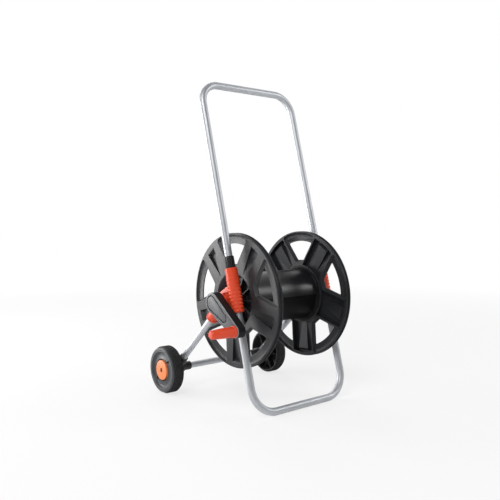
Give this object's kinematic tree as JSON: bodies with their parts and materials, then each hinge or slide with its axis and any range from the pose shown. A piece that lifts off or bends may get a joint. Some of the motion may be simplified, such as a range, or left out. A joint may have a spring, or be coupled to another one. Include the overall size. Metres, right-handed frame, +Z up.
{
  "type": "garden hose reel cart",
  "caption": "Two-wheeled garden hose reel cart: a leaning tube frame carries a spoked hose drum that is wound by a side crank and fed through a swivelling water inlet.",
  "frame": {"origin": "middle of the line on which the foot bar rests on the ground", "axes": "+Z up, +Y from the foot bar towards the wheels, -X towards the crank"},
  "size_m": [0.4948, 0.4855, 0.8797],
  "materials": {
    "frame_tube": "satin silver",
    "zinc_steel": "zinc plated",
    "orange_plastic": "fine moulded satin",
    "black_plastic": "fine moulded satin",
    "flange_plastic": "fine moulded matte",
    "barrel_plastic": "smooth",
    "crank_plastic": "fine moulded matte",
    "bush_plastic": "smooth acetal",
    "wheel_plastic": "matte",
    "seal_rubber": "smooth"
  },
  "bodies": {
    "frame": {"handle_tube": "frame_tube", "foot_tube": "frame_tube", "handle_collar_left": "black_plastic", "handle_collar_right": "black_plastic", "bracket_left": "orange_plastic", "bracket_right": "orange_plastic", "handle_screw_left": "zinc_steel", "handle_screw_right": "zinc_steel", "foot_screw_left": "zinc_steel", "foot_screw_right": "zinc_steel", "leg_screw_left": "zinc_steel", "leg_screw_right": "zinc_steel", "carrier_screw_left": "zinc_steel", "carrier_screw_right": "zinc_steel", "rear_leg_left": "frame_tube", "rear_leg_right": "frame_tube", "axle_carrier_left": "black_plastic", "axle_carrier_right": "black_plastic", "axle_tube": "frame_tube", "wheel_axle": "zinc_steel", "axle_washer_left": "zinc_steel", "axle_washer_right": "zinc_steel", "axle_nut_left": "zinc_steel", "axle_nut_right": "zinc_steel", "hub_bush_left": "bush_plastic", "inlet_spindle": "black_plastic", "inlet_seal": "seal_rubber", "inlet_elbow": "black_plastic"},
    "drum": {"drum_flange_left": "flange_plastic", "drum_flange_right": "flange_plastic", "barrel_shell_upper": "barrel_plastic", "barrel_shell_lower": "barrel_plastic", "crank_shaft": "zinc_steel", "hub_bush_right": "bush_plastic", "swivel_seal": "seal_rubber", "outlet_elbow": "black_plastic", "crank_arm": "crank_plastic", "crank_inlay": "crank_plastic", "crank_screw": "zinc_steel", "grip_pin": "zinc_steel"},
    "grip": {"crank_grip": "orange_plastic"},
    "left_wheel": {"wheel_left": "wheel_plastic", "hub_cap_left": "orange_plastic"},
    "right_wheel": {"wheel_right": "wheel_plastic", "hub_cap_right": "orange_plastic"}
  },
  "joints": [
    {"name": "drum_spin", "type": "hinge", "parent": "frame", "child": "drum", "pos_m": [0, 0.127, 0.285], "axis": [1, 0, 0], "continuous": true},
    {"name": "grip_spin", "type": "hinge", "parent": "drum", "child": "grip", "pos_m": [-0.242, 0.03096, 0.22358], "axis": [1, 0, 0], "continuous": true},
    {"name": "left_wheel_spin", "type": "hinge", "parent": "frame", "child": "left_wheel", "pos_m": [-0.195, 0.365, 0.0675], "axis": [1, 0, 0], "continuous": true},
    {"name": "right_wheel_spin", "type": "hinge", "parent": "frame", "child": "right_wheel", "pos_m": [0.195, 0.365, 0.0675], "axis": [1, 0, 0], "continuous": true}
  ]
}
